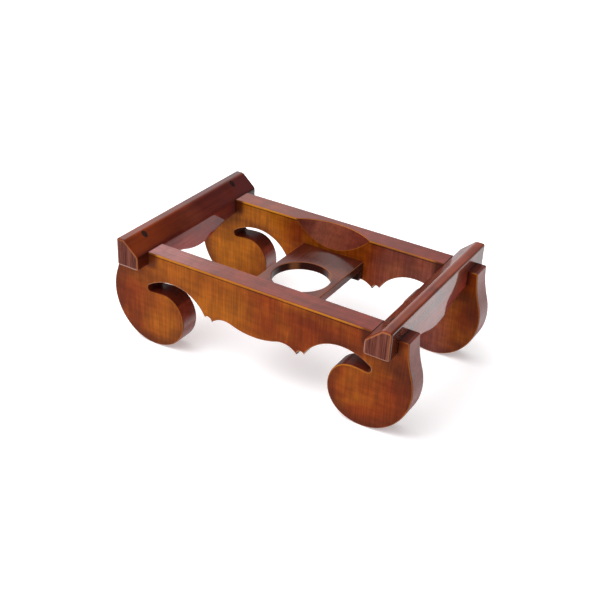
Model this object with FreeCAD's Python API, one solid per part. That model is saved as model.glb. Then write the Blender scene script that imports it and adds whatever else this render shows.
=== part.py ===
import FreeCAD, Part
import math
import os

# Cello stand: two scroll-footed side boards, two bevelled cradle bars let into their tops, and a
# plate with a hole for the endpin, carried on two cleats.
# Frame: +X along the side boards, +Y towards the scooped back board, +Z up, millimetres.
# The origin is on the floor, midway between the four feet.

os.makedirs("parts", exist_ok=True)
Vector = FreeCAD.Vector

# ---- side boards ----
BOARD_GAP = 134.0            # clear space between the boards: the edge depth of a full-size cello
BOARD_T = 24.0               # thickness of each board
HORN_REACH = 167.0           # outer end of the board at the top, from the middle
BOARD_EDGE_R = 1.5           # rounding along the broad faces
BELLY_Z = -55.5              # lowest point of the rail's middle, below the rail's top edge
BELLY_R = 80.0               # round of the rail's belly
SMALL_ARCH_R = 22.0          # hollow either side of the belly
INNER_TOOTH = (50.6, -56.6)  # tip of the tooth that ends the small hollow
NOTCH_TOP = (54.8, -51.3)    # top of the nick between the two teeth

# Outline of a foot as arcs that run on from one another, from the horn's outer corner down,
# round the scroll and back up to the outer tooth. Each is (radius, turn in degrees), and a
# positive turn is to the left.
SCROLL_ARCS = (
    (108.0, 18.9),           # hollow neck below the horn
    (58.5, -65.1),           # outer side of the scroll
    (47.2, -64.9),           # heel that stands on the floor
    (34.5, -94.8),           # inner side
    (24.6, -64.2),           # top of the curl
    (94.0, -9.1),            # lower side of the slot
    (4.1, 154.1),            # blind end of the slot
    (53.6, 32.2),            # upper side of the slot
    (46.1, 64.4),            # arch down to the outer tooth
)

# ---- scoop in the back board, clear of the cello's arched back ----
SCOOP_X = -3.0               # cut by hand, a little left of the middle
SCOOP_HALF_W = 46.5          # half its length along the rail
SCOOP_BACK = 15.0            # how far it reaches back across the rail's top
SCOOP_DOWN = 24.0            # how far it reaches down the rail's inner face
SCOOP_RIM_R = 1.0

# ---- cradle bars ----
BAR_GAP = 259.0              # clear space between the bars
BAR_W = 27.0
BAR_LENGTH = 216.0
BAR_RISE = 15.0              # height of the bar above the rail's top edge
BAR_FLAT_W = 10.0            # flat left on top, outside the bevel
BAR_SEAT = 15.5              # depth of the housing in the boards
BAR_SHOULDER = 18.5          # drop of the underside next to the boards
BAR_BELLY = 30.0             # drop of the underside in the middle
BAR_BELLY_R = 70.0           # round of the underside's belly
BAR_EDGE_R = 2.5
BEVEL_EDGE_R = 6.0           # soft rounding along both sides of the bevel

# ---- endpin plate and its cleats ----
PLATE_W = 76.0
PLATE_T = 9.5
PLATE_DROP = 27.0            # plate's top face below the rail's top edge
HOLE_R = 31.5
PLATE_EDGE_R = 1.0
CLEAT_D = 9.5                # depth of a cleat, out from the board
CLEAT_H = 10.0
CLEAT_EDGE_R = 0.8

# ---- fasteners ----
PLUG_R = 3.2                 # wooden plug over each bar screw
PLUG_FLOOR = 2.5             # top of the screw's head above the rail's top edge
FIT = 0.05                   # radial clearance round plugs and screws
BAR_SCREW = {"length": 42.0, "shank_r": 1.7, "head_r": 3.1}
CLEAT_SCREW = {"length": 24.0, "shank_r": 1.5, "head_r": 2.9}
PLATE_SCREW = {"length": 17.0, "shank_r": 1.5, "head_r": 2.9}
COUNTERSINK = 0.9            # height of a screw's cone as a share of its flare
SCREW_RIM = 0.4              # straight rim of a screw's head
SLOT_W = 0.9
SLOT_DEPTH = 0.9
CLEAT_SCREW_X = 27.0         # cleat screws, from the middle
PLATE_SCREW_X = 34.0         # plate screws, from the middle

# ---- working values ----
TOUCH = 1e-4                 # two places closer than this are the same place
OVERCUT = 1.0                # how far a cut runs past the face it goes through

HALF_GAP = BOARD_GAP / 2
BOARD_MID_Y = HALF_GAP + BOARD_T / 2
BAR_IN = BAR_GAP / 2
BAR_MID_X = BAR_IN + BAR_W / 2
BAR_OUT = BAR_IN + BAR_W


def flat(x, z):
    """A point of a board's outline, which is drawn standing up in the XZ plane."""
    return Vector(x, 0, z)


def arc_through(start, middle, end):
    return Part.Arc(start, middle, end).toShape()


def arc_run(start, heading, arcs):
    """Arcs that run on from one another. Gives the edges and the point they end at."""
    x, z = start
    angle = math.radians(heading)
    edges = []
    for radius, turn in arcs:
        side = math.copysign(1, turn)
        sweep = math.radians(turn)
        centre_x = x - side * radius * math.sin(angle)
        centre_z = z + side * radius * math.cos(angle)
        points = []
        for share in (0, 0.5, 1):
            here = angle + share * sweep
            px = centre_x + side * radius * math.sin(here)
            pz = centre_z - side * radius * math.cos(here)
            points.append(flat(px, pz))
        edges.append(arc_through(*points))
        angle += sweep
        x = points[2].x
        z = points[2].z
    return edges, (x, z)


def belly_edges():
    """The rail's lower edge from its middle to the inner tooth: belly, then small hollow."""
    belly_z = BELLY_Z + BELLY_R
    tooth_x, tooth_z = INNER_TOOTH
    reach = BELLY_R + SMALL_ARCH_R
    # the hollow's centre is this far from the belly's centre and SMALL_ARCH_R from the tooth
    dx = tooth_x
    dz = tooth_z - belly_z
    gap = math.hypot(dx, dz)
    along = (reach ** 2 - SMALL_ARCH_R ** 2 + gap ** 2) / (2 * gap)
    across = math.sqrt(reach ** 2 - along ** 2)
    arch_x = (along * dx + across * dz) / gap
    arch_z = belly_z + (along * dz - across * dx) / gap
    share = BELLY_R / reach
    meet_x = share * arch_x
    meet_z = belly_z + share * (arch_z - belly_z)
    half_way = 0.5 * math.atan2(meet_x, belly_z - meet_z)
    belly = arc_through(
        flat(0, BELLY_Z),
        flat(BELLY_R * math.sin(half_way), belly_z - BELLY_R * math.cos(half_way)),
        flat(meet_x, meet_z),
    )
    hollow = arc_through(
        flat(meet_x, meet_z),
        flat(arch_x, arch_z + SMALL_ARCH_R),
        flat(tooth_x, tooth_z),
    )
    return [belly, hollow]


def half_outline():
    """The right half of a board's outline, from the horn's corner to the belly's middle."""
    scroll, outer_tooth = arc_run((HORN_REACH, 0), -90, SCROLL_ARCS)
    nick = arc_through(flat(*outer_tooth), flat(*NOTCH_TOP), flat(*INNER_TOOTH))
    return scroll + [nick] + belly_edges()


def edges_where(shape, wanted):
    return [edge for edge in shape.Edges if wanted(edge.BoundBox)]


def level(low, high, value):
    """True when a box is flat along one axis, at the given value."""
    return abs(low - value) < TOUCH and abs(high - value) < TOUCH


def board_blank():
    """A side board standing in the middle, its outline complete and its edges rounded."""
    right = half_outline()
    left = [edge.mirror(Vector(0, 0, 0), Vector(1, 0, 0)) for edge in right]
    top = Part.LineSegment(flat(-HORN_REACH, 0), flat(HORN_REACH, 0)).toShape()
    wire = Part.Wire(Part.__sortEdges__(right + left + [top]))
    blank = Part.Face(wire).extrude(Vector(0, BOARD_T, 0))
    blank.translate(Vector(0, -BOARD_T / 2, 0))

    def on_rim(box):
        return level(box.YMin, box.YMax, -BOARD_T / 2) or level(box.YMin, box.YMax, BOARD_T / 2)

    def on_horn_corner(box):
        at_end = level(abs(box.XMin), abs(box.XMax), HORN_REACH)
        return at_end and level(box.ZMin, box.ZMax, 0)

    rounded = edges_where(blank, lambda box: on_rim(box) or on_horn_corner(box))
    return blank.makeFillet(BOARD_EDGE_R, rounded)


def bar_housings():
    """The space the two bars take out of a board's top edge."""
    housing = Part.makeBox(BAR_W, BOARD_T + 2 * OVERCUT, BAR_SEAT + OVERCUT)
    spaces = []
    for side in (-1, 1):
        space = housing.copy()
        space.translate(Vector(side * BAR_MID_X - BAR_W / 2, -BOARD_T / 2 - OVERCUT, -BAR_SEAT))
        spaces.append(space)
    return spaces


def scoop(inner_face_y):
    """A slanting cylinder whose cut leaves the lens-shaped scoop in the back board."""
    slant = math.hypot(SCOOP_BACK, SCOOP_DOWN)
    depth = SCOOP_BACK * SCOOP_DOWN / slant
    radius = (SCOOP_HALF_W ** 2 + depth ** 2) / (2 * depth)
    down = Vector(0, -SCOOP_BACK / slant, -SCOOP_DOWN / slant)
    away = Vector(0, -SCOOP_DOWN / slant, SCOOP_BACK / slant)
    deepest = Vector(SCOOP_X, inner_face_y + SCOOP_BACK, 0)
    # the cutting cylinder starts well above the rail and ends well below the scoop
    start = deepest + away * radius - down * slant
    return Part.makeCylinder(radius, 3 * slant, start, down)


def soften_scoop(board):
    """Rounds the scoop's two long rims, on the rail's top and on its inner face."""
    scooped = [face for face in board.Faces if face.Surface.TypeId == "Part::GeomCylinder"]
    # the scoop is the only round face whose axis leans in both Y and Z
    scooped = [face for face in scooped if abs(face.Surface.Axis.y * face.Surface.Axis.z) > TOUCH]
    rims = [edge for face in scooped for edge in face.Edges if edge.Length > SCOOP_DOWN]
    return board.makeFillet(SCOOP_RIM_R, rims)


def side_board(side):
    """side is -1 for the front board and 1 for the back board, which has the scoop."""
    board = board_blank()
    board.translate(Vector(0, side * BOARD_MID_Y, 0))
    for space in bar_housings():
        space.translate(Vector(0, side * BOARD_MID_Y, 0))
        board = board.cut(space)
    if side > 0:
        board = soften_scoop(board.cut(scoop(HALF_GAP)))
    return board


def bar_section():
    """The right bar's section, with the bevel on the inner side."""
    outline = [
        (BAR_IN, -BAR_BELLY),
        (BAR_OUT, -BAR_BELLY),
        (BAR_OUT, BAR_RISE),
        (BAR_OUT - BAR_FLAT_W, BAR_RISE),
        (BAR_IN, 0),
    ]
    points = [Vector(x, -BAR_LENGTH / 2, z) for x, z in outline]
    face = Part.Face(Part.makePolygon(points + [points[0]]))
    bar = face.extrude(Vector(0, BAR_LENGTH, 0))

    def beside_bevel(box):
        foot = level(box.ZMin, box.ZMax, 0)
        head = level(box.ZMin, box.ZMax, BAR_RISE) and level(box.XMin, box.XMax, BAR_OUT - BAR_FLAT_W)
        return foot or head

    return bar.makeFillet(BEVEL_EDGE_R, edges_where(bar, beside_bevel))


def bar_underside():
    """What is taken off below the bar: its ends are shallow and it bellies between the boards."""
    drop = BAR_BELLY - BAR_SHOULDER
    # two round stretches meet in an S; the shoulder's radius follows from its reach and drop
    shoulder_r = (HALF_GAP ** 2 + drop ** 2) / (2 * drop) - BAR_BELLY_R
    slope = math.asin(HALF_GAP / (BAR_BELLY_R + shoulder_r))

    def belly_point(angle):
        y = BAR_BELLY_R * math.sin(angle)
        return Vector(BAR_IN, y, BAR_BELLY_R * (1 - math.cos(angle)) - BAR_BELLY)

    def shoulder_point(angle):
        y = HALF_GAP - shoulder_r * math.sin(angle)
        return Vector(BAR_IN, y, shoulder_r * (math.cos(angle) - 1) - BAR_SHOULDER)

    below = -2 * BAR_BELLY
    outline = [
        shoulder_point(0),
        Vector(BAR_IN, HALF_GAP, -BAR_SEAT),
        Vector(BAR_IN, BAR_LENGTH, -BAR_SEAT),
        Vector(BAR_IN, BAR_LENGTH, below),
        Vector(BAR_IN, 0, below),
        belly_point(0),
    ]
    edges = [Part.LineSegment(a, b).toShape() for a, b in zip(outline, outline[1:])]
    edges.append(arc_through(belly_point(0), belly_point(slope / 2), belly_point(slope)))
    edges.append(arc_through(shoulder_point(slope), shoulder_point(slope / 2), shoulder_point(0)))
    half = Part.Face(Part.Wire(Part.__sortEdges__(edges)))
    half = half.extrude(Vector(BAR_W + 2 * OVERCUT, 0, 0))
    half.translate(Vector(-OVERCUT, 0, 0))
    return [half, half.mirror(Vector(0, 0, 0), Vector(0, 1, 0))]


def cradle_bar():
    """The right bar, before its screw holes."""
    bar = bar_section()
    for piece in bar_underside():
        bar = bar.cut(piece)

    def rounded(box):
        on_end = box.YLength < TOUCH and abs(box.YMin) > BAR_LENGTH / 2 - TOUCH
        under = box.ZMax < -BAR_SEAT + TOUCH
        between = abs(box.YMin) < HALF_GAP + TOUCH and abs(box.YMax) < HALF_GAP + TOUCH
        in_boards = level(abs(box.YMin), abs(box.YMax), HALF_GAP)
        outer = level(box.XMin, box.XMax, BAR_OUT)
        along = level(box.XMin, box.XMax, BAR_IN) or outer
        top = level(box.ZMin, box.ZMax, BAR_RISE) and outer
        overhang = level(box.ZMin, box.ZMax, -BAR_SEAT) and box.YLength > BOARD_T
        return on_end or top or overhang or (under and between and along and not in_boards)

    bar = bar.makeFillet(BAR_EDGE_R, edges_where(bar, rounded))
    # the corners stay square where they sit in the boards' housings
    seat = Part.makeBox(BAR_W, BOARD_T, BAR_EDGE_R)
    for side in (-1, 1):
        block = seat.copy()
        block.translate(Vector(BAR_IN, side * BOARD_MID_Y - BOARD_T / 2, -BAR_SEAT))
        bar = bar.fuse(block)
    return bar.removeSplitter()


def wood_screw(size, clearance=0.0):
    """A countersunk screw pointing down, the top of its head at the origin."""
    head_r = size["head_r"] + clearance
    shank_r = size["shank_r"] + clearance
    length = size["length"] + clearance
    cone = COUNTERSINK * (size["head_r"] - size["shank_r"])
    tip = 2 * size["shank_r"]
    outline = [
        (0, 0),
        (head_r, 0),
        (head_r, -SCREW_RIM),
        (shank_r, -SCREW_RIM - cone),
        (shank_r, tip - length),
        (0, -length),
    ]
    points = [flat(x, z) for x, z in outline]
    face = Part.Face(Part.makePolygon(points + [points[0]]))
    screw = face.revolve(Vector(0, 0, 0), Vector(0, 0, 1), 360)
    if clearance:
        return screw
    slot = Part.makeBox(2 * head_r, SLOT_W, 2 * SLOT_DEPTH)
    slot.translate(Vector(-head_r, -SLOT_W / 2, -SLOT_DEPTH))
    return screw.cut(slot)


def corners(x, y):
    """The four places of a fastener, by name."""
    for end, sy in (("front", -1), ("back", 1)):
        for hand, sx in (("left", -1), ("right", 1)):
            yield end + "_" + hand, sx * x, sy * y


def upward(shape):
    shape.rotate(Vector(0, 0, 0), Vector(1, 0, 0), 180)
    return shape


def into_board(shape, sy):
    """Turns a downward screw to point out through the board on the given side."""
    shape.rotate(Vector(0, 0, 0), Vector(1, 0, 0), 90 * sy)
    return shape


def moved(shape, x, y, z):
    shape.translate(Vector(x, y, z))
    return shape


def fastener_sets():
    """Every screw and plug by name, with the space it needs in the wood."""
    screws = {}
    spaces = []
    for place, x, y in corners(BAR_MID_X, BOARD_MID_Y):
        screws["bar_screw_" + place] = moved(wood_screw(BAR_SCREW), x, y, PLUG_FLOOR)
        spaces.append(moved(wood_screw(BAR_SCREW, FIT), x, y, PLUG_FLOOR))
        drill = Part.makeCylinder(PLUG_R + FIT, BAR_RISE, Vector(x, y, PLUG_FLOOR))
        spaces.append(drill)
    cleat_z = -PLATE_DROP - PLATE_T - CLEAT_H / 2
    for place, x, y in corners(CLEAT_SCREW_X, HALF_GAP - CLEAT_D):
        sy = math.copysign(1, y)
        screws["cleat_screw_" + place] = moved(into_board(wood_screw(CLEAT_SCREW), sy), x, y, cleat_z)
        spaces.append(moved(into_board(wood_screw(CLEAT_SCREW, FIT), sy), x, y, cleat_z))
    under_z = cleat_z - CLEAT_H / 2
    for place, x, y in corners(PLATE_SCREW_X, HALF_GAP - CLEAT_D / 2):
        screws["plate_screw_" + place] = moved(upward(wood_screw(PLATE_SCREW)), x, y, under_z)
        spaces.append(moved(upward(wood_screw(PLATE_SCREW, FIT)), x, y, under_z))
    return screws, spaces


def screw_plugs(bar):
    """Wooden plugs on the bar screws, trimmed flush with the bars' bevels."""
    plugs = {}
    for place, x, y in corners(BAR_MID_X, BOARD_MID_Y):
        blank = Part.makeCylinder(PLUG_R, BAR_RISE, Vector(x, y, PLUG_FLOOR))
        plugs["screw_plug_" + place] = blank.common(bar if x > 0 else mirrored_bar(bar))
    return plugs


def mirrored_bar(bar):
    return bar.mirror(Vector(0, 0, 0), Vector(1, 0, 0))


def endpin_plate():
    plate = Part.makeBox(PLATE_W, BOARD_GAP, PLATE_T)
    plate.translate(Vector(-PLATE_W / 2, -HALF_GAP, -PLATE_DROP - PLATE_T))
    plate = plate.cut(Part.makeCylinder(HOLE_R, 2 * PLATE_T, Vector(0, 0, -PLATE_DROP - 1.5 * PLATE_T)))

    def rounded(box):
        side = level(abs(box.XMin), abs(box.XMax), PLATE_W / 2) and box.YLength > PLATE_W
        # of the plate's edges, only the hole's two rims reach along both X and Y
        rim = box.XLength > HOLE_R and box.YLength > HOLE_R
        return side or rim

    return plate.makeFillet(PLATE_EDGE_R, edges_where(plate, rounded))


def plate_cleat(side):
    cleat = Part.makeBox(PLATE_W, CLEAT_D, CLEAT_H)
    near_y = HALF_GAP - CLEAT_D if side > 0 else -HALF_GAP
    cleat.translate(Vector(-PLATE_W / 2, near_y, -PLATE_DROP - PLATE_T - CLEAT_H))
    lower_z = -PLATE_DROP - PLATE_T - CLEAT_H

    def rounded(box):
        inner = level(abs(box.YMin), abs(box.YMax), HALF_GAP - CLEAT_D)
        return inner and level(box.ZMin, box.ZMax, lower_z)

    return cleat.makeFillet(CLEAT_EDGE_R, edges_where(cleat, rounded))


def all_nodes():
    right_bar = cradle_bar()
    nodes = {
        "side_board_front": side_board(-1),
        "side_board_back": side_board(1),
        "cradle_bar_right": right_bar,
        "cradle_bar_left": mirrored_bar(right_bar),
        "endpin_plate": endpin_plate(),
        "plate_cleat_front": plate_cleat(-1),
        "plate_cleat_back": plate_cleat(1),
    }
    plugs = screw_plugs(right_bar)
    screws, spaces = fastener_sets()
    for name, shape in nodes.items():
        for space in spaces:
            if shape.BoundBox.intersect(space.BoundBox):
                shape = shape.cut(space)
        nodes[name] = shape
    nodes.update(plugs)
    nodes.update(screws)
    return nodes


def save_nodes():
    floor_drop = -min(edge.BoundBox.ZMin for edge in half_outline())
    for name, shape in all_nodes().items():
        shape.translate(Vector(0, 0, floor_drop))
        shape.exportStep("parts/" + name + ".step")
        print(name, len(shape.Solids), round(shape.Volume, 1), shape.isValid())


save_nodes()
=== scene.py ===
import math

import bpy
from mathutils import Matrix, Vector


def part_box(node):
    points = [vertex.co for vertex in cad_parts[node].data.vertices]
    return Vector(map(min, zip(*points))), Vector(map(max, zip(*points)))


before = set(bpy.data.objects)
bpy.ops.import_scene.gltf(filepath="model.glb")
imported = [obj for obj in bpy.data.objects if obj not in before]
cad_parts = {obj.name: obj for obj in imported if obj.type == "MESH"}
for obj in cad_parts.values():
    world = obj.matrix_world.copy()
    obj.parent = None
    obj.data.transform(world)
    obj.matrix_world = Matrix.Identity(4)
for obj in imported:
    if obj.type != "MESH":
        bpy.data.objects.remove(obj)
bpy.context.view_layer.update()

# Cello stand in glossy lacquered wood. Every shape is the CAD model's own, so this script gives the
# nodes their finishes and sets up the floor, the lights and the camera. Units are metres.

# ---------------------------------------------------------------- places on the stand

RAIL_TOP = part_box("side_board_front")[1][2]
BOARD_INNER_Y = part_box("side_board_back")[0][1]
BOARD_OUTER_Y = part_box("side_board_back")[1][1]
BAR_INNER_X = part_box("cradle_bar_right")[0][0]
BAR_OUTER_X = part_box("cradle_bar_right")[1][0]
PLATE_SIDE_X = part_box("endpin_plate")[1][0]
HOUSING_DEPTH = 0.0155             # how deep the bars sit in the boards
SCROLL_X = 0.127                   # middle of a scroll
SCROLL_Z = 0.045
SLOT_X = (0.092, 0.135)            # the slot above a scroll's curl, from its mouth to its end
SLOT_Z = (0.058, 0.079)
CURL_TOP_X = (-0.135, -0.095)      # the upper side of the left curl
CURL_TOP_Z = (0.040, 0.058)
SCOOP_X = (-0.0490, 0.0430)        # the hollow in the back board's inner top edge
SCOOP_Z = 0.085
SCOOP_DEPTH = 0.0148


def rgb(red, green, blue):
    return (red, green, blue, 1.0)


# ---------------------------------------------------------------- colours, linear

# side boards: the clouds of stain, then the paler and darker places, among them painted shade,
# sheen, reflection and highlight
DARK = rgb(0.110, 0.014, 0.003)
MIDDLE = rgb(0.190, 0.029, 0.003)
LIGHT = rgb(0.280, 0.066, 0.004)
AMBER = rgb(0.410, 0.122, 0.006)
BRUISE = rgb(0.075, 0.014, 0.005)
# painted shade: corners under the bars, dark reflections on the roundings, the horn tops past the
# bars
PAINTED_SHADE = rgb(0.055, 0.008, 0.003)
# painted sheen: a plum reflection on the back board's inner face
PLUM_PAINTED_SHEEN = rgb(0.190, 0.060, 0.052)
# painted sheen: the pale pink of a reflection on the top's left end
TOP_PAINTED_SHEEN = rgb(0.330, 0.120, 0.110)
CUT_FACE = rgb(0.172, 0.021, 0.011)
SCOOPED = rgb(0.200, 0.052, 0.026)
# painted reflection: the scoop's dark ends
SCOOP_PAINTED_DARK = rgb(0.105, 0.020, 0.012)
# pale roundings: partly wear, partly painted highlight
EDGE_WEAR_AND_HIGHLIGHT = rgb(0.520, 0.200, 0.014)

# cradle bars
BAR_DARK = rgb(0.082, 0.010, 0.004)
BAR_MIDDLE = rgb(0.128, 0.016, 0.006)
BAR_LIGHT = rgb(0.180, 0.031, 0.010)
BAR_WARM = rgb(0.260, 0.045, 0.008)
BAR_COOL = rgb(0.100, 0.024, 0.024)
# pale roundings: partly wear, partly painted highlight
BAR_EDGE_WEAR_AND_HIGHLIGHT = rgb(0.420, 0.160, 0.060)
# painted reflection: the bright floor's glow on the bars' sides between the boards
BAR_SIDE_PAINTED_GLOW = rgb(0.275, 0.038, 0.024)
# painted reflection: the same glow, brighter inside the left bar
BAR_INNER_PAINTED_GLOW = rgb(0.400, 0.052, 0.036)
END_DARK = rgb(0.072, 0.015, 0.009)
END_LIGHT = rgb(0.188, 0.056, 0.036)

# endpin plate and its cleats
PLATE_DARK = rgb(0.060, 0.008, 0.004)
PLATE_MIDDLE = rgb(0.100, 0.014, 0.006)
PLATE_LIGHT = rgb(0.150, 0.030, 0.008)
# painted reflection on the plate's long sides
PLATE_SIDE_PAINTED_REFLECTION = rgb(0.300, 0.110, 0.085)

# plugs and screws
PLUG_DARK = rgb(0.012, 0.006, 0.005)
PLUG_MIDDLE = rgb(0.022, 0.009, 0.008)
PLUG_LIGHT = rgb(0.036, 0.014, 0.010)
STEEL_DARK = rgb(0.36, 0.35, 0.33)
STEEL_LIGHT = rgb(0.55, 0.54, 0.51)

FLOOR_DARK = rgb(0.90, 0.90, 0.90)
FLOOR_LIGHT = rgb(0.92, 0.92, 0.92)
ROOM_WHITE = rgb(1.0, 0.985, 1.0)

# ---------------------------------------------------------------- material building

class Tree:
    """Short calls for building the nodes of a material or of the world."""

    def __init__(self, owner):
        owner.use_nodes = True
        self.owner = owner
        self.nodes = owner.node_tree.nodes
        self.links = owner.node_tree.links
        self.nodes.clear()

    def add(self, kind, inputs=None, **settings):
        made = self.nodes.new("ShaderNode" + kind)
        for key, value in settings.items():
            setattr(made, key, value)
        for key, value in (inputs or {}).items():
            self.put(made.inputs[key], value)
        return made

    def put(self, socket, value):
        if isinstance(value, bpy.types.NodeSocket):
            self.links.new(value, socket)
        else:
            socket.default_value = value

    def math(self, operation, first, second=0.0):
        return self.add("Math", {0: first, 1: second}, operation=operation).outputs[0]

    def product(self, first, *others):
        total = first
        for factor in others:
            total = self.math("MULTIPLY", total, factor)
        return total

    def opposite(self, share):
        return self.math("SUBTRACT", 1.0, share)

    def span(self, value, low, high, to_low=0.0, to_high=1.0):
        """value moved from low..high to to_low..to_high, smoothly and held at the ends."""
        inputs = {"Value": value, 1: low, 2: high, 3: to_low, 4: to_high}
        return self.add("MapRange", inputs, interpolation_type="SMOOTHSTEP").outputs[0]

    def within(self, value, low, high, soft):
        """1 where value lies between low and high, falling to 0 over soft outside them."""
        rise = self.span(value, low - soft, low)
        return self.product(rise, self.span(value, high, high + soft, 1.0, 0.0))

    def stretched(self, place, stretch, shift):
        inputs = {"Vector": place, "Location": shift, "Scale": stretch}
        return self.add("Mapping", inputs).outputs[0]

    def noise(self, place, stretch, shift=(0.0, 0.0, 0.0), detail=2.0, roughness=0.5):
        """stretch is how many features a metre holds along X, Y and Z."""
        inputs = {
            "Vector": self.stretched(place, stretch, shift),
            "Scale": 1.0,
            "Detail": detail,
            "Roughness": roughness,
        }
        return self.add("TexNoise", inputs).outputs["Fac"]

    def warped(self, place, stretch, shift, amount):
        """place pushed about by a slow noise, so that straight bands waver."""
        inputs = {"Vector": self.stretched(place, stretch, shift), "Scale": 1.0, "Detail": 1.5}
        push = self.add("TexNoise", inputs).outputs["Color"]
        centring = {0: push, 1: (0.5, 0.5, 0.5)}
        centred = self.add("VectorMath", centring, operation="SUBTRACT").outputs[0]
        sized = self.brighten(centred, amount)
        return self.add("VectorMath", {0: place, 1: sized}, operation="ADD").outputs[0]

    def mix(self, share, first, second):
        made = self.add("Mix", data_type="RGBA")
        self.put(made.inputs[0], share)
        self.put(made.inputs[6], first)
        self.put(made.inputs[7], second)
        return made.outputs[2]

    def brighten(self, colour, factor):
        return self.add("VectorMath", {0: colour, "Scale": factor}, operation="SCALE").outputs[0]

    def bump(self, height, strength, distance, normal=None):
        inputs = {"Height": height, "Strength": strength, "Distance": distance}
        if normal is not None:
            inputs["Normal"] = normal
        return self.add("Bump", inputs).outputs[0]

    def connect(self, shader, output):
        self.links.new(shader.outputs[0], self.add(output).inputs[0])


class Finish(Tree):
    """A material's nodes, with place and normal as the surface's own position and direction."""

    def __init__(self, name):
        super().__init__(bpy.data.materials.new(name))
        self.place = self.add("TexCoord").outputs["Object"]
        self.normal = self.add("NewGeometry").outputs["Normal"]

    def finish(self, **inputs):
        named = {key.replace("_", " "): value for key, value in inputs.items()}
        self.connect(self.add("BsdfPrincipled", named), "OutputMaterial")
        return self.owner


class Wood:
    """The stain, grain and clear gloss coat of one wooden piece.

    along is the axis that the grain runs along, and shift moves the piece in the noise, so that
    two pieces differ. tilt is how far the surface faces along X, Y and Z, either way.
    """

    WAVER = (9.0, 9.0, 9.0)
    WAVER_SIZE = 0.006
    CLOUDS = (13.0, 13.0, 15.0)
    PATCHES = (20.0, 20.0, 26.0)
    ACROSS_GRAIN = 240.0
    ALONG_GRAIN = 7.0
    SMUDGES = (34.0, 34.0, 34.0)
    RIPPLES = (160.0, 160.0, 160.0)
    PORE_DEPTH = 0.0002
    COAT_IOR = 1.6

    def __init__(self, name, along, shift):
        self.tree = tree = Finish(name)
        self.along = along
        self.shift = shift
        self.place = tree.warped(tree.place, self.WAVER, shift, self.WAVER_SIZE)
        self.x, self.y, self.z = tree.add("SeparateXYZ", {0: tree.place}).outputs
        self.side_x = tree.math("ABSOLUTE", self.x)
        self.side_y = tree.math("ABSOLUTE", self.y)
        facing = tree.add("SeparateXYZ", {0: tree.normal}).outputs
        self.tilt = [tree.math("ABSOLUTE", share) for share in facing]
        self.edge_on_ior = self.COAT_IOR   # the coat's, on faces square to X seen edge on
        self.edge_on_coat = 1.0            # and its weight there
        self.gloss = 1.0
        self.blur = 0.0

    def noise(self, stretch, moved=0.0, **settings):
        shift = tuple(value + moved for value in self.shift)
        return self.tree.noise(self.place, stretch, shift, **settings)

    def wander(self, per_metre):
        """A slow noise that makes stained places, wear, painted shade, sheen and highlight come and
        go.
        """
        return self.noise((per_metre, per_metre, per_metre), moved=8.3, detail=3.0)

    def stain(self, dark, middle, light):
        """Soft cloudy mottling."""
        tree = self.tree
        clouds = self.noise(self.CLOUDS)
        colour = tree.mix(tree.span(clouds, 0.30, 0.54), dark, middle)
        patches = self.noise(self.PATCHES, moved=4.1, detail=3.0)
        self.colour = tree.mix(tree.span(patches, 0.42, 0.70), colour, light)

    def figure(self, stretch, strength, where=1.0):
        """Bands of light and dark wood, as fine as stretch says."""
        tree = self.tree
        bands = self.noise(stretch, moved=1.7, detail=2.5, roughness=0.6)
        swing = tree.product(tree.span(bands, 0.36, 0.64, -strength, strength), where)
        self.colour = tree.brighten(self.colour, tree.math("ADD", 1.0, swing))

    def tint(self, colour, *shares):
        """Mixes in colour, by the shares multiplied together."""
        self.colour = self.tree.mix(self.tree.product(*shares), self.colour, colour)

    def darken(self, share, keep):
        """Leaves only keep of the colour where share is 1."""
        tree = self.tree
        self.colour = tree.brighten(self.colour, tree.span(share, 0.0, 1.0, 1.0, keep))

    def end_on(self, axis):
        """1 on faces square to the axis."""
        return self.tree.span(self.tilt[axis], 0.80, 0.95)

    def coat_weight(self, grazing, edge_on):
        """A gloss that shows on faces seen at a slant and fades where the view skims them."""
        tree = self.tree
        return tree.product(
            tree.span(grazing, 0.36, 0.49, 0.06, 1.0),
            tree.span(grazing, 0.74, 0.88, 1.0, 0.22),
            tree.span(edge_on, 0.0, 1.0, 1.0, self.edge_on_coat),
            self.gloss,
        )

    def finish(self):
        tree = self.tree
        stretch = [self.ACROSS_GRAIN] * 3
        stretch[self.along] = self.ALONG_GRAIN
        grain = self.noise(tuple(stretch), detail=3.0, roughness=0.6)
        smudges = tree.noise(tree.place, self.SMUDGES, self.shift, detail=3.0)
        ripples = tree.noise(tree.place, self.RIPPLES, self.shift, detail=1.0)
        skin = tree.bump(ripples, 0.06, self.PORE_DEPTH)
        grazing = tree.add("LayerWeight", {"Blend": 0.5, "Normal": skin}).outputs["Facing"]
        edge_on = tree.product(tree.span(grazing, 0.50, 0.57), self.end_on(0))
        return tree.finish(
            Base_Color=self.colour,
            Roughness=tree.span(smudges, 0.3, 0.7, 0.34, 0.46),
            Normal=tree.bump(grain, 0.20, self.PORE_DEPTH, skin),
            IOR=1.5,
            Specular_IOR_Level=0.03,
            Coat_Weight=self.coat_weight(grazing, edge_on),
            Coat_Roughness=tree.span(smudges, 0.3, 0.7, 0.02 + self.blur, 0.05 + self.blur),
            Coat_IOR=tree.span(edge_on, 0.0, 1.0, self.COAT_IOR, self.edge_on_ior),
            Coat_Normal=skin,
        )


# ---------------------------------------------------------------- side boards

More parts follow.
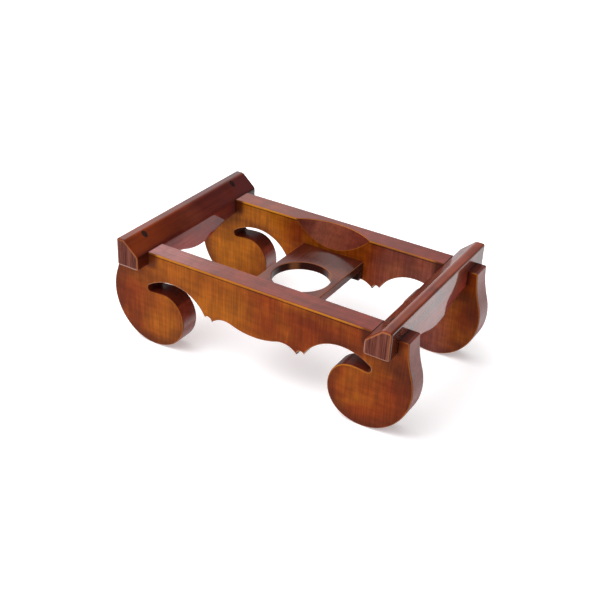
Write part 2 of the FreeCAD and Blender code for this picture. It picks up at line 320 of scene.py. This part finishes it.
class Board(Wood):
    """A side board's wood: amber where its stain is thin, darker round the scrolls, with painted
    shade in the slots.

    Both boards share it. The scoop and the painted plum sheen are placed on the back board alone.
    """

    LINES_UP = (620.0, 480.0, 26.0)
    LINES_ALONG = (24.0, 480.0, 300.0)
    BROAD_BANDS = (110.0, 30.0, 16.0)
    CROSS_BANDS = (22.0, 120.0, 210.0)
    BLOTCHES = (70.0, 70.0, 60.0)

    def __init__(self, name, shift):
        super().__init__(name, 0, shift)
        tree = self.tree
        self.edge_on_coat = 0.5
        self.patchy = self.wander(11.0)
        self.upright = tree.span(self.tilt[1], 0.35, 0.60)
        at_top = tree.span(self.z, RAIL_TOP - 0.001, RAIL_TOP)
        self.on_top = tree.product(tree.span(self.tilt[2], 0.90, 0.98), at_top)
        self.hollow = self.in_scoop()
        self.flat = tree.opposite(self.hollow)

    def in_scoop(self):
        """1 in the hollow of the back board, where its surface leans both forwards and up."""
        tree = self.tree
        return tree.product(
            tree.within(self.x, *SCOOP_X, 0.001),
            tree.within(self.y, BOARD_INNER_Y + 0.0002, BOARD_INNER_Y + SCOOP_DEPTH, 0.0003),
            tree.span(self.z, SCOOP_Z - 0.001, SCOOP_Z + 0.001),
            tree.within(self.tilt[1], 0.70, 0.87, 0.02),
        )

    def amber_stretch(self, left, right, at_foot):
        """Thin amber stain from left to right, at_foot strong down at the foot."""
        tree = self.tree
        reach = tree.within(self.x, left, right, 0.050)
        height = tree.span(self.z, 0.045, 0.080, at_foot, 0.9)
        self.tint(AMBER, reach, height, tree.span(self.patchy, 0.30, 0.60, 0.45, 1.0))

    def scrolls(self):
        """A scroll's rim is stained darker than its middle."""
        tree = self.tree
        out = tree.math("POWER", tree.math("SUBTRACT", self.side_x, SCROLL_X), 2.0)
        up = tree.math("POWER", tree.math("SUBTRACT", self.z, SCROLL_Z), 2.0)
        from_middle = tree.math("SQRT", tree.math("ADD", out, up))
        self.tint(AMBER, tree.span(from_middle, 0.030, 0.010), 0.12)
        rim = tree.product(
            tree.span(from_middle, 0.026, 0.046),
            tree.span(self.side_x, 0.072, 0.090),
            tree.span(self.z, 0.100, 0.075),
        )
        self.tint(BRUISE, rim, tree.span(self.patchy, 0.30, 0.52, 0.35, 1.0), 0.80)

    def sawn_faces(self, top_sheen):
        """The top, the sawn edges and the scoop took more of the red stain than the broad faces.
        The top's left end gets a painted sheen, and the scoop's ends a painted dark reflection.
        """
        tree = self.tree
        self.tint(CUT_FACE, tree.span(self.tilt[1], 0.97, 0.87, 0.0, 0.88))
        # painted sheen on the top's left end
        self.tint(TOP_PAINTED_SHEEN, self.on_top, tree.span(self.x, -0.030, -0.110), top_sheen)
        # painted dark reflection at the scoop's right side and left end
        right_side = tree.span(self.x, -0.012, 0.030)
        left_end = tree.span(self.x, -0.026, -0.032, 0.0, 0.8)
        scoop_painted_dark = tree.math("MAXIMUM", right_side, left_end)
        self.tint(tree.mix(scoop_painted_dark, SCOOPED, SCOOP_PAINTED_DARK), self.hollow, 0.85)

    def painted_plum_sheen(self):
        """Painted plum sheen on the back board's inner face, right of the plate, standing in for a
        reflection.
        """
        tree = self.tree
        inside = tree.within(self.y, BOARD_INNER_Y - 0.001, BOARD_INNER_Y + 0.001, 0.0005)
        to_right = tree.within(self.x, PLATE_SIDE_X + 0.030, 0.125, 0.030)
        # painted sheen, standing in for a reflection
        self.tint(PLUM_PAINTED_SHEEN, inside, to_right, tree.span(self.patchy, 0.25, 0.60, 0.30, 0.62), self.flat)

    def figures(self):
        """Fine lines up the broad faces and along the others, and coarser bands over them."""
        broad = self.tree.span(self.tilt[1], 0.60, 0.90)
        self.figure(self.LINES_UP, 0.14, broad)
        self.figure(self.LINES_ALONG, 0.13, self.tree.opposite(broad))
        self.figure(self.BROAD_BANDS, 0.08)
        self.figure(self.CROSS_BANDS, 0.08)
        self.figure(self.BLOTCHES, 0.10)

    def edges(self):
        """Pale on the roundings, partly wear and partly painted highlight, with painted shade and
        dark reflection beside them.
        """
        tree = self.tree
        between_bars = tree.span(self.side_x, BAR_INNER_X, BAR_INNER_X - 0.001)
        on_rail = tree.product(between_bars, self.upright)
        # painted shade: a dark line just under the rail's top edge, for a dark reflection in the
        # rounding
        under = tree.within(self.z, RAIL_TOP - 0.0029, RAIL_TOP - 0.0023, 0.0005)
        self.darken(tree.product(under, on_rail, self.flat), 0.35)
        # painted shade: dark reflections on the roundings round the outline
        beside = tree.within(self.tilt[1], 0.10, 0.42, 0.06)
        self.tint(PAINTED_SHADE, beside, tree.span(self.tilt[0], 0.30, 0.60), 0.65)
        # painted shade on the horn tops past the bars
        past_bar = tree.span(self.side_x, BAR_OUTER_X - 0.0003, BAR_OUTER_X + 0.0005)
        self.tint(PAINTED_SHADE, self.on_top, past_bar, 0.70)
        # a pale band along the rail's top edge: partly wear, partly painted highlight
        rubbed_and_highlit = tree.within(self.z, RAIL_TOP - 0.0016, RAIL_TOP, 0.0003)
        wear_and_highlight = tree.span(self.patchy, 0.25, 0.60, 0.45, 1.0)
        to_left = tree.span(self.x, 0.15, -0.06, 0.4, 1.0)
        self.tint(EDGE_WEAR_AND_HIGHLIGHT, rubbed_and_highlit, on_rail, wear_and_highlight, to_left, self.flat)
        rounding = tree.within(self.tilt[1], 0.50, 0.955, 0.03)
        self.tint(EDGE_WEAR_AND_HIGHLIGHT, rounding, tree.span(self.patchy, 0.35, 0.65, 0.25, 0.60), self.flat)

    def under_bars(self):
        """Painted shadow in the corners under the bars, and dark joint lines at the seams beside
        them.
        """
        tree = self.tree
        beneath = tree.within(self.side_x, BAR_INNER_X - 0.007, BAR_OUTER_X + 0.001, 0.007)
        height = tree.span(self.z, RAIL_TOP - 0.021, RAIL_TOP - 0.013)
        patches = tree.span(self.patchy, 0.30, 0.55, 0.60, 0.92)
        # painted shadow on the boards in the corners under the bars
        self.tint(PAINTED_SHADE, beneath, height, self.upright, patches)
        inner = tree.within(self.side_x, BAR_INNER_X - 0.0005, BAR_INNER_X + 0.0002, 0.0002)
        outer = tree.within(self.side_x, BAR_OUTER_X - 0.0002, BAR_OUTER_X + 0.0005, 0.0002)
        seams = tree.math("MAXIMUM", inner, outer)
        foot = RAIL_TOP - HOUSING_DEPTH
        beside_bar = tree.span(self.z, foot - 0.0015, foot)
        self.darken(tree.product(seams, beside_bar), 0.35)

    def slots(self):
        """The slots' walls are darkened with painted shade, and the slots and the curl's upper side
        have a dull coat.
        """
        tree = self.tree
        sawn = tree.span(self.tilt[1], 0.30, 0.10)
        slot = tree.product(
            tree.within(self.side_x, *SLOT_X, 0.006),
            tree.within(self.z, *SLOT_Z, 0.004),
            sawn,
        )
        # painted shade inside the slots
        self.darken(slot, 0.50)
        curl_top = tree.product(
            tree.within(self.x, *CURL_TOP_X, 0.006),
            tree.within(self.z, *CURL_TOP_Z, 0.004),
            sawn,
            0.8,
        )
        self.gloss = tree.span(tree.math("MAXIMUM", slot, curl_top), 0.0, 1.0, 1.0, 0.15)


def board_wood(name, shift, amber, amber_at_foot, top_sheen):
    """amber is the amber stretch's left and right, and the last argument sets how strong the
    painted sheen on the top's left end is.
    """
    wood = Board(name, shift)
    wood.stain(DARK, MIDDLE, LIGHT)
    wood.amber_stretch(*amber, amber_at_foot)
    wood.scrolls()
    wood.sawn_faces(top_sheen)
    wood.painted_plum_sheen()
    wood.figures()
    wood.edges()
    wood.under_bars()
    wood.slots()
    return wood.finish()


# ---------------------------------------------------------------- bars, plate, plugs and screws

class Bar(Wood):
    """A cradle bar's wood: dark red-brown, with its end grain showing."""

    STREAKS = (260.0, 9.0, 260.0)
    BROAD_STREAKS = (46.0, 6.0, 46.0)
    BLOTCHES = (60.0, 44.0, 60.0)
    RINGS = (900.0, 60.0, 30.0)

    def __init__(self, name):
        super().__init__(name, 1, (7.7, 2.9, 5.2))
        self.edge_on_ior = 1.66
        self.patchy = self.wander(14.0)
        self.on_side = self.end_on(0)
        tree = self.tree
        inner = tree.within(self.x, -BAR_INNER_X - 0.0015, -BAR_INNER_X + 0.0015, 0.001)
        self.inside_left = tree.product(self.on_side, inner)

    def sides(self):
        """Painted reflection: the sides between the boards are painted a brighter red, most of all
        inside the left bar, for the bright floor's light on them.
        """
        tree = self.tree
        belly = tree.product(
            self.on_side,
            tree.span(self.z, RAIL_TOP + 0.004, RAIL_TOP - 0.014),
            tree.span(self.side_y, BOARD_INNER_Y + 0.002, BOARD_INNER_Y - 0.007),
        )
        # painted reflection: the floor's glow on the sides between the boards
        self.tint(BAR_SIDE_PAINTED_GLOW, belly, 0.85)
        self.tint(BAR_INNER_PAINTED_GLOW, belly, self.inside_left, 0.85)

    def clouds(self):
        """Cooler at the left bar's back, warmer towards the front, and painted shade on the right
        bevel.
        """
        tree = self.tree
        at_left = tree.span(self.x, 0.0, -0.10)
        to_back = tree.span(self.y, -0.060, 0.060)
        self.tint(BAR_COOL, at_left, to_back, tree.span(self.patchy, 0.30, 0.60, 0.4, 1.0), 0.8)
        to_front = tree.span(self.y, 0.0, -0.10)
        above = tree.span(self.z, RAIL_TOP, RAIL_TOP + 0.004)
        self.tint(BAR_WARM, to_front, tree.span(self.patchy, 0.35, 0.60, 0.0, 0.6), above)
        at_right = tree.span(self.x, 0.0, 0.10)
        # painted shade on the right bar's bevel
        self.darken(tree.product(at_right, tree.within(self.tilt[0], 0.52, 0.80, 0.05)), 0.62)

    def ends(self):
        """The overhangs are dark, and their end grain shows its rings."""
        tree = self.tree
        past_board = tree.span(self.side_y, BOARD_OUTER_Y - 0.005, BOARD_OUTER_Y + 0.001)
        self.darken(tree.product(self.on_side, past_board), 0.5)
        shift = (2.0, 0.0, 0.0)
        rings = tree.noise(tree.place, self.RINGS, shift, detail=2.5, roughness=0.55)
        self.tint(tree.mix(tree.span(rings, 0.34, 0.66), END_DARK, END_LIGHT), self.end_on(1))

    def edges(self):
        """Pale round the ends, and warm here and there along the crest: partly wear, partly painted
        highlight.
        """
        tree = self.tree
        rounding = tree.within(self.tilt[1], 0.70, 0.92, 0.08)
        # partly wear, partly painted highlight round the ends
        self.tint(BAR_EDGE_WEAR_AND_HIGHLIGHT, rounding, tree.span(self.patchy, 0.35, 0.65, 0.35, 0.85))
        crest = tree.within(self.tilt[0], 0.18, 0.50, 0.10)
        lengthwise = tree.span(self.tilt[1], 0.2, 0.1)
        wear_and_highlight = tree.span(self.patchy, 0.35, 0.65, 0.10, 0.45)
        self.tint(BAR_WARM, crest, lengthwise, wear_and_highlight)

    def dull_sides(self):
        """The sides' gloss is duller towards the back, and inside the left bar."""
        tree = self.tree
        to_back = tree.product(self.on_side, tree.span(self.y, -0.060, 0.090))
        behind = tree.span(to_back, 0.0, 1.0, 1.0, 0.66)
        self.gloss = tree.product(behind, tree.span(self.inside_left, 0.0, 1.0, 1.0, 0.70))


def bar_wood(name):
    wood = Bar(name)
    wood.stain(BAR_DARK, BAR_MIDDLE, BAR_LIGHT)
    wood.sides()
    wood.figure(wood.STREAKS, 0.16)
    wood.figure(wood.BROAD_STREAKS, 0.14)
    wood.figure(wood.BLOTCHES, 0.12)
    wood.clouds()
    wood.ends()
    wood.edges()
    wood.dull_sides()
    return wood.finish()


PLATE_STREAKS = (240.0, 8.0, 240.0)
PLUG_STREAKS = (900.0, 900.0, 40.0)
STEEL_MARKS = (900.0, 900.0, 90.0)
STEEL_TONES = (300.0, 300.0, 300.0)


def plate_wood(name):
    """The plate and its cleats: a duller coat and dark sawn walls round the hole, with painted
    reflection on the long sides, painted shade towards the back, and pale roundings that are partly
    wear and partly painted highlight.
    """
    wood = Wood(name, 1, (1.3, 8.2, 2.6))
    tree = wood.tree
    wood.stain(PLATE_DARK, PLATE_MIDDLE, PLATE_LIGHT)
    wood.figure(PLATE_STREAKS, 0.14)
    walls = tree.span(wood.tilt[2], 0.6, 0.2)
    wood.darken(walls, 0.30)
    long_side = tree.span(wood.side_x, PLATE_SIDE_X - 0.0020, PLATE_SIDE_X - 0.0008)
    to_front = tree.span(wood.y, 0.030, -0.030, 0.2, 0.9)
    # painted reflection on the long sides
    wood.tint(PLATE_SIDE_PAINTED_REFLECTION, wood.end_on(0), long_side, to_front)
    # painted shade towards the back board
    wood.darken(tree.span(wood.y, 0.018, 0.048), 0.55)
    leaning = tree.math("MAXIMUM", wood.tilt[0], wood.tilt[1])
    # pale roundings: partly wear, partly painted highlight
    wood.tint(BAR_EDGE_WEAR_AND_HIGHLIGHT, tree.within(leaning, 0.25, 0.75, 0.12), 0.4)
    wood.blur = 0.15
    wood.gloss = tree.span(walls, 0.0, 1.0, 1.0, 0.35)
    return wood.finish()


def plug_wood(name):
    """Almost black, with its pores running up the plug."""
    wood = Wood(name, 2, (5.0, 5.0, 5.0))
    wood.stain(PLUG_DARK, PLUG_MIDDLE, PLUG_LIGHT)
    wood.figure(PLUG_STREAKS, 0.2)
    return wood.finish()


def steel(name):
    """Screws with fine marks along them."""
    tree = Finish(name)
    marks = tree.noise(tree.place, STEEL_MARKS, detail=3.0)
    tone = tree.noise(tree.place, STEEL_TONES)
    return tree.finish(
        Base_Color=tree.mix(tree.span(tone, 0.35, 0.65), STEEL_DARK, STEEL_LIGHT),
        Metallic=1.0,
        Roughness=tree.span(marks, 0.3, 0.7, 0.28, 0.45),
        Normal=tree.bump(marks, 0.3, 0.0001),
    )


def dress_nodes():
    """Gives each CAD node the finish that its name starts with."""
    front = board_wood("front_board_wood", shift=(0.0, 0.0, 0.0), amber=(-0.095, -0.030),
                       amber_at_foot=0.45, top_sheen=0.7)
    back = board_wood("back_board_wood", shift=(3.1, 1.7, 0.4), amber=(-0.200, -0.090),
                      amber_at_foot=0.9, top_sheen=0.0)
    plate = plate_wood("plate_wood")
    screw = steel("screw_steel_brushed")
    finishes = {
        "side_board_front": front,
        "side_board_back": back,
        "cradle_bar": bar_wood("bar_wood"),
        "endpin_plate": plate,
        "plate_cleat": plate,
        "screw_plug": plug_wood("plug_wood"),
        "bar_screw": screw,
        "cleat_screw": screw,
        "plate_screw": screw,
    }
    for name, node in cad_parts.items():
        for start, material in finishes.items():
            if name.startswith(start):
                for slot in node.material_slots:
                    slot.material = material


# ---------------------------------------------------------------- floor, camera and lights

FLOOR_HALF = 6.0
FLOOR_GLOW = 0.36
FLOOR_FIBRES = (3.0, 3.0, 3.0)
CAMERA_TURN = (29.7565, 30.567, 3.0727)     # azimuth, elevation and roll, in degrees
CAMERA_PLACE = (0.45555, -0.79701, 0.59571)
CAMERA_LENS = 60.30                         # millimetres, as is the sensor's width
CAMERA_SENSOR = 36.0
CAMERA_CLIP = (0.05, 50.0)
ROOM_GLOW = 0.06
LIGHT_CORE = 3.0                            # degrees from a light's middle that it is full within
LIGHT_REACH = 32.0                          # and that it is gone beyond

# azimuth from +Y to the right and elevation, in degrees, and how bright
SOFT_LIGHTS = (
    (240.0, 55.0, 4.8),
    (180.0, 55.0, 2.6),
    (300.0, 55.0, 1.8),
    (315.0, 22.0, 0.85),
    (0.0, 55.0, 0.35),
    (45.0, 22.0, 0.55),
)


def floor_finish():
    """Matt paper with a little glow of its own."""
    tree = Finish("floor_paper")
    fibres = tree.noise(tree.place, FLOOR_FIBRES, detail=4.0)
    return tree.finish(
        Base_Color=tree.mix(tree.span(fibres, 0.3, 0.7), FLOOR_DARK, FLOOR_LIGHT),
        Roughness=0.9,
        Specular_IOR_Level=0.1,
        Emission_Color=rgb(1.0, 1.0, 1.0),
        Emission_Strength=FLOOR_GLOW,
    )


def make_floor():
    """A plain pale sheet that runs far past the view."""
    half = FLOOR_HALF
    corners = [(-half, -half, 0), (half, -half, 0), (half, half, 0), (-half, half, 0)]
    mesh = bpy.data.meshes.new("floor")
    mesh.from_pydata(corners, [], [(0, 1, 2, 3)])
    mesh.materials.append(floor_finish())
    floor = bpy.data.objects.new("floor", mesh)
    bpy.context.scene.collection.objects.link(floor)


def make_camera():
    """A camera at the photo's angle, from CAMERA_PLACE."""
    azimuth, elevation, roll = (math.radians(angle) for angle in CAMERA_TURN)
    level = math.cos(elevation)
    back = Vector((math.sin(azimuth) * level, -math.cos(azimuth) * level, math.sin(elevation)))
    right = Vector((0, 0, 1)).cross(back).normalized()
    up = back.cross(right)
    turned_right = right * math.cos(roll) + up * math.sin(roll)
    turned_up = up * math.cos(roll) - right * math.sin(roll)
    camera = bpy.data.objects.new("camera", bpy.data.cameras.new("camera"))
    camera.data.lens = CAMERA_LENS
    camera.data.sensor_width = CAMERA_SENSOR
    camera.data.clip_start, camera.data.clip_end = CAMERA_CLIP
    turn = Matrix((turned_right, turned_up, back)).transposed().to_4x4()
    camera.matrix_world = Matrix.Translation(CAMERA_PLACE) @ turn
    bpy.context.scene.collection.objects.link(camera)
    bpy.context.scene.camera = camera


def toward(azimuth, elevation):
    """The direction at an azimuth from +Y, to the right, and an elevation, in degrees."""
    turn, lift = math.radians(azimuth), math.radians(elevation)
    return (math.sin(turn) * math.cos(lift), math.cos(turn) * math.cos(lift), math.sin(lift))


def make_world():
    """A white studio: an even glow with wide soft lights in it."""
    world = bpy.data.worlds.new("studio")
    tree = Tree(world)
    sight = tree.add("TexCoord").outputs["Generated"]
    core, reach = math.cos(math.radians(LIGHT_CORE)), math.cos(math.radians(LIGHT_REACH))
    total = ROOM_GLOW
    for azimuth, elevation, glow in SOFT_LIGHTS:
        inputs = {0: sight, 1: toward(azimuth, elevation)}
        angle = tree.add("VectorMath", inputs, operation="DOT_PRODUCT").outputs["Value"]
        total = tree.math("ADD", tree.span(angle, reach, core, 0.0, glow), total)
    # what the camera sees past the floor's far edge is as pale as the floor
    straight_on = tree.add("LightPath").outputs["Is Camera Ray"]
    strength = tree.span(straight_on, 0.0, 1.0, total, 1.0)
    background = tree.add("Background", {"Color": ROOM_WHITE, "Strength": strength})
    tree.connect(background, "OutputWorld")
    bpy.context.scene.world = world


dress_nodes()
make_floor()
make_world()
make_camera()
bpy.context.scene.view_settings.view_transform = "Standard"
